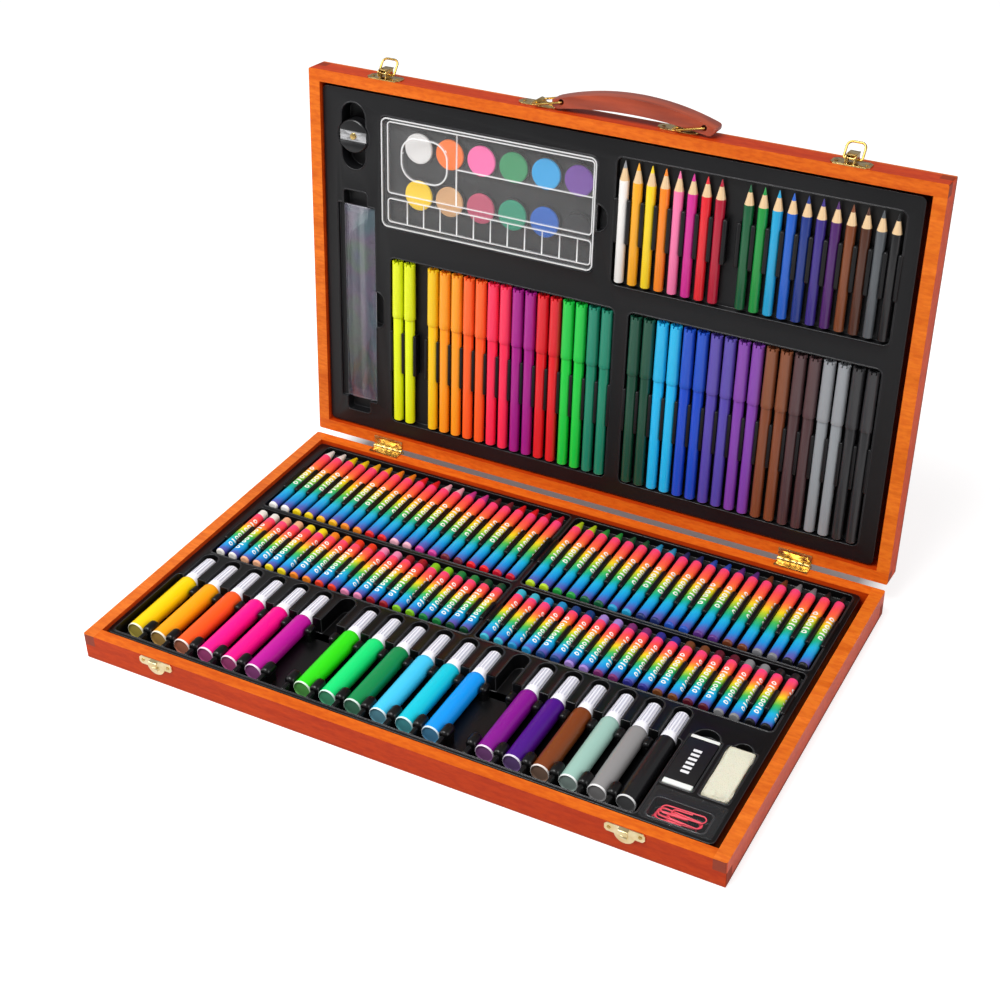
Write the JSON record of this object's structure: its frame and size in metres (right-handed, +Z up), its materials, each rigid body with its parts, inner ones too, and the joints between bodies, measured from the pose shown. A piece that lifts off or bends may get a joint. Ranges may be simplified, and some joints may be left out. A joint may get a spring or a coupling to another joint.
{
  "type": "hinged drawing case",
  "caption": "Shallow hinged wooden art case standing open, with formed trays of drawing sticks in both halves, draw latches and a carrying handle.",
  "frame": {"origin": "centre of the base half's underside, on the surface it stands on", "axes": "+X along the hinge line to the right, +Y to the back where the hinges are, +Z up"},
  "size_m": [0.47, 0.3432, 0.3298],
  "materials": {
    "stained_rail": "satin stain",
    "stained_panel": "satin stain",
    "black_tray": "satin formed sheet",
    "brass": "bright plating",
    "grip_plastic": "wood-grained",
    "wax": "waxy",
    "wrapper": "printed paper",
    "marker_plastic": "glossy",
    "white_plastic": "glossy",
    "plug_plastic": "glossy",
    "pencil_paint": "lacquered",
    "bare_wood": "bare",
    "lead": "waxy",
    "pen_plastic": "glossy",
    "black_plastic": "satin",
    "watercolour": "pressed pigment",
    "clear_plastic": "clear",
    "blade_steel": "ground",
    "vinyl": "matt",
    "card_sleeve": "card",
    "sponge_foam": "porous",
    "coated_wire": "coated"
  },
  "bodies": {
    "base": {"base_front_rail": "stained_rail", "base_back_rail": "stained_rail", "base_left_rail": "stained_rail", "base_right_rail": "stained_rail", "base_panel": "stained_panel", "base_tray": "black_tray", "hinge_base_leaves": "brass", "hinge_pins": "brass", "hinge_base_nails": "brass", "strike_plates": "brass", "strike_nails": "brass", "crayon_sticks": "wax", "crayon_wrappers": "wrapper", "pastel_sticks": "wax", "pastel_wrappers": "wrapper", "marker_barrels": "marker_plastic", "marker_caps": "white_plastic", "marker_plugs": "plug_plastic", "paper_clips": "coated_wire", "clip_cover": "clear_plastic"},
    "lid": {"lid_front_rail": "stained_rail", "lid_back_rail": "stained_rail", "lid_left_rail": "stained_rail", "lid_right_rail": "stained_rail", "lid_panel": "stained_panel", "lid_tray": "black_tray", "hinge_lid_leaves": "brass", "hinge_lid_nails": "brass", "latch_plates": "brass", "latch_pins": "brass", "latch_nails": "brass", "handle_plates": "brass", "handle_nails": "brass", "pencil_barrels": "pencil_paint", "pencil_cones": "bare_wood", "pencil_leads": "lead", "pen_barrels": "pen_plastic", "pen_caps": "pen_plastic"},
    "lever_left": {"latch_lever_left": "brass"},
    "lever_right": {"latch_lever_right": "brass"},
    "loop_left": {"latch_loop_left": "brass"},
    "loop_right": {"latch_loop_right": "brass"},
    "link_left": {"handle_link_left": "brass"},
    "link_right": {"handle_link_right": "brass"},
    "grip": {"handle_grip": "grip_plastic"},
    "paint_set": {"paint_box": "black_plastic", "paint_tablets": "watercolour"},
    "paint_cover": {"paint_lid": "clear_plastic"},
    "ruler": {"ruler": "clear_plastic"},
    "sharpener": {"sharpener_body": "black_plastic", "sharpener_blade": "blade_steel", "sharpener_screw": "brass"},
    "eraser_block": {"eraser": "vinyl", "eraser_sleeve": "card_sleeve"},
    "sponge_block": {"sponge": "sponge_foam"}
  },
  "joints": [
    {"name": "lid_hinge", "type": "hinge", "parent": "base", "child": "lid", "pos_m": [0, 0.1472, 0.0216], "axis": [-1, 0, 0], "range_deg": [-95, 0]},
    {"name": "lever_left_pivot", "type": "hinge", "parent": "lid", "child": "lever_left", "pos_m": [-0.1737, 0.17735, 0.3169], "axis": [1, 0, 0], "range_deg": [0, 100]},
    {"name": "lever_right_pivot", "type": "hinge", "parent": "lid", "child": "lever_right", "pos_m": [0.1703, 0.17735, 0.3169], "axis": [1, 0, 0], "range_deg": [0, 100]},
    {"name": "loop_left_pivot", "type": "hinge", "parent": "lever_left", "child": "loop_left", "pos_m": [-0.1737, 0.18102, 0.31517], "axis": [-1, 0, 0], "range_deg": [-128.6, 0]},
    {"name": "loop_right_pivot", "type": "hinge", "parent": "lever_right", "child": "loop_right", "pos_m": [0.1703, 0.18102, 0.31517], "axis": [-1, 0, 0], "range_deg": [-128.6, 0]},
    {"name": "link_left_pivot", "type": "hinge", "parent": "lid", "child": "link_left", "pos_m": [-0.0537, 0.18413, 0.31409], "axis": [0, -0.9962, 0.0872], "range_deg": [0, 153.4]},
    {"name": "grip_pivot", "type": "hinge", "parent": "link_left", "child": "grip", "pos_m": [-0.03375, 0.18454, 0.31879], "axis": [0, -0.9962, 0.0872], "range_deg": [-153.4, 0]},
    {"name": "link_right_pivot", "type": "hinge", "parent": "lid", "child": "link_right", "pos_m": [0.0503, 0.18413, 0.31409], "axis": [0, -0.9962, 0.0872], "range_deg": [0, 153.4]},
    {"name": "paint_set_lift", "type": "slide", "parent": "lid", "child": "paint_set", "axis": [0, -0.9962, 0.0872], "range_m": [0, 0.03]},
    {"name": "paint_cover_lift", "type": "slide", "parent": "paint_set", "child": "paint_cover", "axis": [0, -0.9962, 0.0872], "range_m": [0, 0.02]},
    {"name": "ruler_lift", "type": "slide", "parent": "lid", "child": "ruler", "axis": [0, -0.9962, 0.0872], "range_m": [0, 0.03]},
    {"name": "sharpener_lift", "type": "slide", "parent": "lid", "child": "sharpener", "axis": [0, -0.9962, 0.0872], "range_m": [0, 0.03]},
    {"name": "eraser_block_lift", "type": "slide", "parent": "base", "child": "eraser_block", "axis": [0, 0, 1], "range_m": [0, 0.03]},
    {"name": "sponge_block_lift", "type": "slide", "parent": "base", "child": "sponge_block", "axis": [0, 0, 1], "range_m": [0, 0.03]}
  ],
  "couplings": [
    {"joint": "grip_pivot", "follows": "link_left_pivot", "ratio": -1},
    {"joint": "link_right_pivot", "follows": "link_left_pivot", "ratio": 1}
  ]
}
